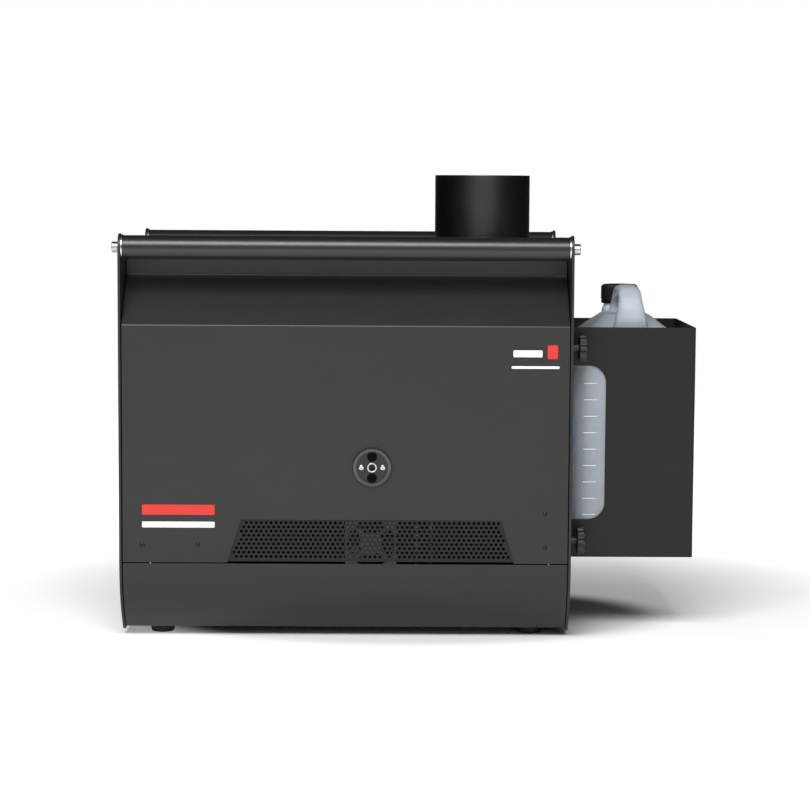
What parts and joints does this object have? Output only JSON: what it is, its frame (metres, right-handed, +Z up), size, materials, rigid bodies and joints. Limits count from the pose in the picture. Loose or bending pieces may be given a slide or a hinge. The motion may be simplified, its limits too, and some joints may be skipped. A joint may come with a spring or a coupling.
{
  "type": "fog machine",
  "caption": "Upright jet fog machine in a dark sheet-metal case, with tube handles, a round outlet duct on top and a fluid tank in a holder on its side.",
  "frame": {"origin": "floor level, under the middle of the whole machine's box", "axes": "+Z up, front panel faces -Y, tank holder on the +X side"},
  "size_m": [0.69, 0.343, 0.547],
  "materials": {
    "body_powder_coat": "fine-texture powder coat, semi-matt",
    "grille_sheet": "powder-coated perforated sheet",
    "control_plate_coat": "satin black",
    "handle_coat": "satin powder coat",
    "zinc_plated_steel": "bright zinc plate",
    "black_anodised": "black anodised, satin",
    "duct_black": "matt black",
    "black_plastic": "moulded",
    "knob_plastic": "fine moulded grain",
    "heater_aluminium": "as cast",
    "heater_rod_steel": "heat-tinted stainless",
    "ceramic_wool": "pressed fibre board",
    "thermostat_ceramic": "glazed ceramic",
    "copper_pipe": "drawn copper",
    "clear_hose": "milky hose",
    "circuit_board": "solder resist",
    "terminal_plastic": "moulded",
    "display_glass": "dark display window",
    "button_plastic": "satin",
    "rocker_plastic": "glossy",
    "power_connector_plastic": "moulded",
    "breaker_red": "glossy",
    "data_connector_nickel": "satin nickel",
    "foot_rubber": "moulded",
    "black_screws": "black oxide",
    "natural_polyethylene": "natural blow-moulded, translucent",
    "cap_plastic": "ribbed, satin"
  },
  "bodies": {
    "chassis": {"side_plate_left": "body_powder_coat", "side_plate_right": "body_powder_coat", "base_pan": "body_powder_coat", "front_panel": "body_powder_coat", "rear_panel": "body_powder_coat", "top_panel": "body_powder_coat", "tank_holder": "body_powder_coat", "front_grille": "grille_sheet", "control_panel": "control_plate_coat", "front_handle_tube": "handle_coat", "rear_handle_tube": "handle_coat", "handle_end_plugs": "zinc_plated_steel", "handle_screws": "zinc_plated_steel", "rosette_screws": "zinc_plated_steel", "rosette_backing_plates": "zinc_plated_steel", "duct_flange": "zinc_plated_steel", "fan_stand": "zinc_plated_steel", "heater_cradle": "zinc_plated_steel", "pump_bracket": "zinc_plated_steel", "holder_studs": "zinc_plated_steel", "power_supply": "zinc_plated_steel", "jet_fan_guard": "zinc_plated_steel", "fluid_inlet": "zinc_plated_steel", "front_rosette": "black_anodised", "rear_rosette": "black_anodised", "outlet_duct": "duct_black", "jet_fan_housing": "black_plastic", "cooling_fan_housing": "black_plastic", "fluid_pump": "black_plastic", "solid_state_relays": "black_plastic", "circuit_breaker": "black_plastic", "switch_housing": "black_plastic", "heater_blocks": "heater_aluminium", "heater_rods": "heater_rod_steel", "heater_jacket": "ceramic_wool", "thermostats": "thermostat_ceramic", "nozzle_pipes": "copper_pipe", "pressure_line": "copper_pipe", "suction_line": "clear_hose", "control_board": "circuit_board", "terminal_block": "terminal_plastic", "display_module": "display_glass", "power_inlet": "power_connector_plastic", "data_sockets": "data_connector_nickel", "rubber_feet": "foot_rubber", "panel_screws": "black_screws"},
    "jet_fan": {"jet_fan_rotor": "black_plastic"},
    "cooling_fan": {"cooling_fan_rotor": "black_plastic"},
    "button_back": {"menu_button_back": "button_plastic"},
    "button_down": {"menu_button_down": "button_plastic"},
    "button_up": {"menu_button_up": "button_plastic"},
    "button_enter": {"menu_button_enter": "button_plastic"},
    "rocker": {"power_switch": "rocker_plastic"},
    "breaker_pin": {"breaker_button": "breaker_red"},
    "knob_front_top": {"star_knob_front_top": "knob_plastic"},
    "knob_front_bottom": {"star_knob_front_bottom": "knob_plastic"},
    "knob_rear_top": {"star_knob_rear_top": "knob_plastic"},
    "knob_rear_bottom": {"star_knob_rear_bottom": "knob_plastic"},
    "tank": {"fluid_tank": "natural_polyethylene"},
    "cap": {"tank_cap": "cap_plastic"}
  },
  "joints": [
    {"name": "jet_fan_spin", "type": "hinge", "parent": "chassis", "child": "jet_fan", "pos_m": [0.092, 0, 0.27], "axis": [0, 0, 1], "continuous": true},
    {"name": "cooling_fan_spin", "type": "hinge", "parent": "chassis", "child": "cooling_fan", "pos_m": [-0.042, -0.153, 0.116], "axis": [0, 1, 0], "continuous": true},
    {"name": "button_back_press", "type": "slide", "parent": "chassis", "child": "button_back", "axis": [0, -1, 0], "range_m": [0, 0.0015], "stiffness_N_per_m": 400},
    {"name": "button_down_press", "type": "slide", "parent": "chassis", "child": "button_down", "axis": [0, -1, 0], "range_m": [0, 0.0015], "stiffness_N_per_m": 400},
    {"name": "button_up_press", "type": "slide", "parent": "chassis", "child": "button_up", "axis": [0, -1, 0], "range_m": [0, 0.0015], "stiffness_N_per_m": 400},
    {"name": "button_enter_press", "type": "slide", "parent": "chassis", "child": "button_enter", "axis": [0, -1, 0], "range_m": [0, 0.0015], "stiffness_N_per_m": 400},
    {"name": "power_rocker", "type": "hinge", "parent": "chassis", "child": "rocker", "pos_m": [-0.175, 0.1635, 0.222], "axis": [1, 0, 0], "range_deg": [-16, 0]},
    {"name": "breaker_trip", "type": "slide", "parent": "chassis", "child": "breaker_pin", "axis": [0, 1, 0], "range_m": [0, 0.003]},
    {"name": "knob_front_top_turn", "type": "hinge", "parent": "chassis", "child": "knob_front_top", "pos_m": [0.2025, -0.124, 0.344], "axis": [1, 0, 0], "continuous": true},
    {"name": "knob_front_bottom_turn", "type": "hinge", "parent": "chassis", "child": "knob_front_bottom", "pos_m": [0.2025, -0.124, 0.114], "axis": [1, 0, 0], "continuous": true},
    {"name": "knob_rear_top_turn", "type": "hinge", "parent": "chassis", "child": "knob_rear_top", "pos_m": [0.2025, 0.124, 0.344], "axis": [1, 0, 0], "continuous": true},
    {"name": "knob_rear_bottom_turn", "type": "hinge", "parent": "chassis", "child": "knob_rear_bottom", "pos_m": [0.2025, 0.124, 0.114], "axis": [1, 0, 0], "continuous": true},
    {"name": "tank_lift", "type": "slide", "parent": "chassis", "child": "tank", "axis": [0, 0, 1], "range_m": [0, 0.3]},
    {"name": "cap_lift", "type": "slide", "parent": "tank", "child": "cap", "axis": [0, 0, 1], "range_m": [0, 0.05]}
  ]
}
